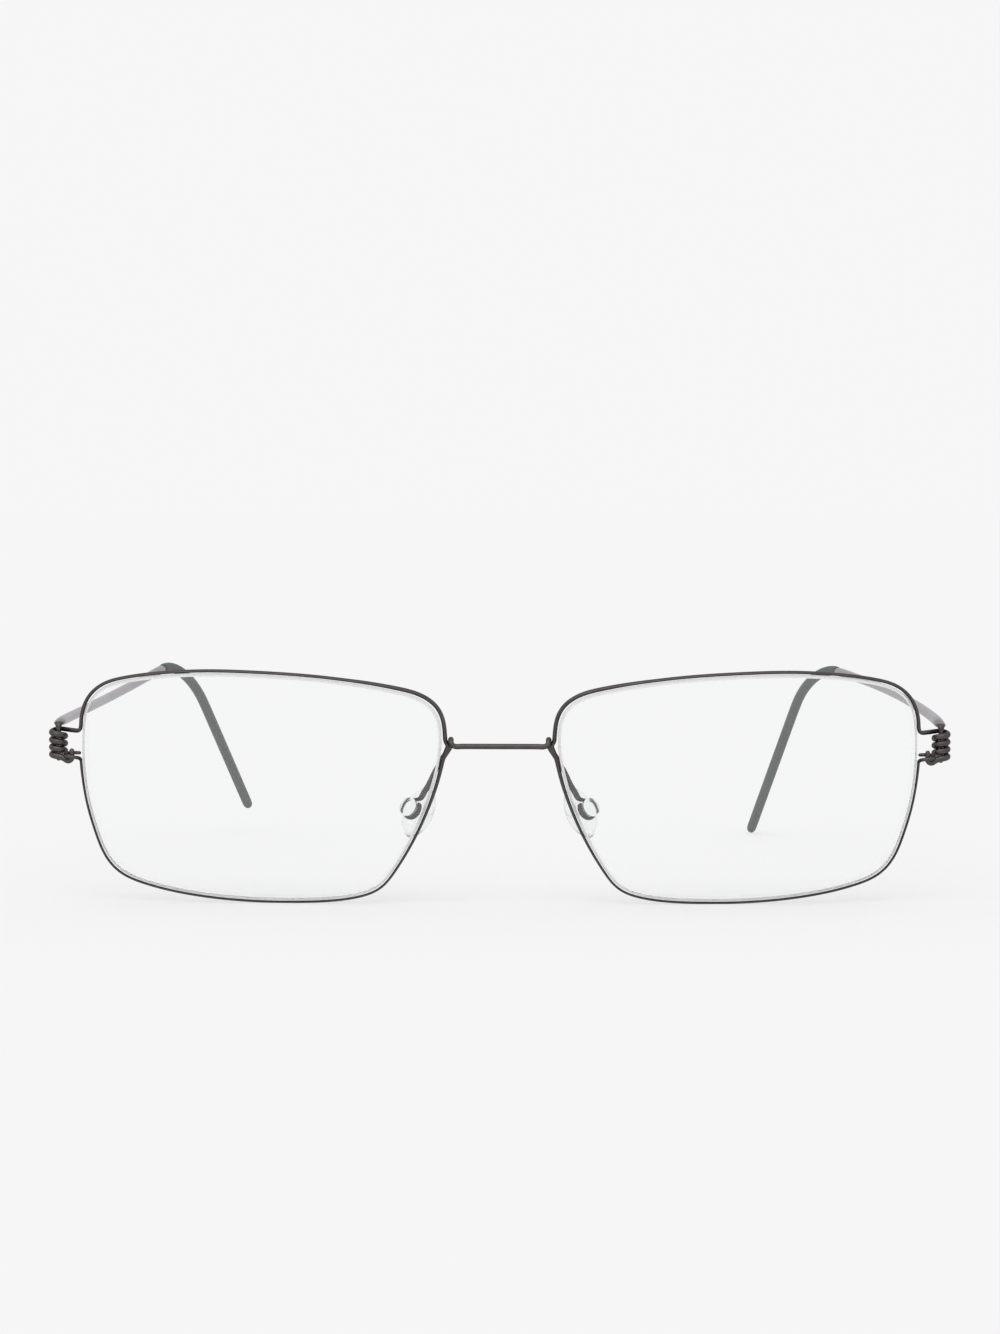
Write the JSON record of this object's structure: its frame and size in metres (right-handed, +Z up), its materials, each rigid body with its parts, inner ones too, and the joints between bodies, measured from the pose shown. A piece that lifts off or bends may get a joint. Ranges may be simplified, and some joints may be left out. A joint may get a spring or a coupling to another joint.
{
  "type": "eyeglasses",
  "caption": "Wire-frame rectangular eyeglasses: thin rim wires wound into coil hinges, a straight wire bridge, clear nose pads and slim folding temples.",
  "frame": {"origin": "on the surface that the open frame stands on, under the centre of its bounding box", "axes": "+X towards the wearer's left, +Y back towards the ears, +Z up"},
  "size_m": [0.138, 0.1272, 0.0358],
  "materials": {
    "clear_lens": "polished clear plastic lens with a light coating",
    "dark_titanium": "dark warm grey satin metal",
    "satin_titanium": "grey satin metal",
    "clear_silicone": "clear soft silicone",
    "liner_plastic": "thin natural plastic",
    "grey_silicone": "matt dark grey-green soft sleeve"
  },
  "bodies": {
    "front": {"left_lens": "clear_lens", "right_lens": "clear_lens", "left_rim": "dark_titanium", "right_rim": "dark_titanium", "bridge_wire": "dark_titanium", "left_hinge_liner": "liner_plastic", "right_hinge_liner": "liner_plastic"},
    "left_arm": {"left_temple": "satin_titanium", "left_temple_tip": "grey_silicone"},
    "right_arm": {"right_temple": "satin_titanium", "right_temple_tip": "grey_silicone"},
    "left_pad": {"left_nose_pad": "clear_silicone"},
    "right_pad": {"right_nose_pad": "clear_silicone"}
  },
  "joints": [
    {"name": "left_temple_fold", "type": "hinge", "parent": "front", "child": "left_arm", "pos_m": [0.06746, -0.05578, 0.02382], "axis": [0, 0, 1], "range_deg": [0, 78]},
    {"name": "right_temple_fold", "type": "hinge", "parent": "front", "child": "right_arm", "pos_m": [-0.06746, -0.05578, 0.02382], "axis": [0, 0, -1], "range_deg": [0, 72]},
    {"name": "left_pad_swivel", "type": "hinge", "parent": "front", "child": "left_pad", "pos_m": [0.01345, -0.05507, 0.01425], "axis": [0.6519, -0.6296, 0.4226], "range_deg": [-15, 15]},
    {"name": "right_pad_swivel", "type": "hinge", "parent": "front", "child": "right_pad", "pos_m": [-0.01345, -0.05507, 0.01425], "axis": [-0.6519, -0.6296, 0.4226], "range_deg": [-15, 15]}
  ]
}
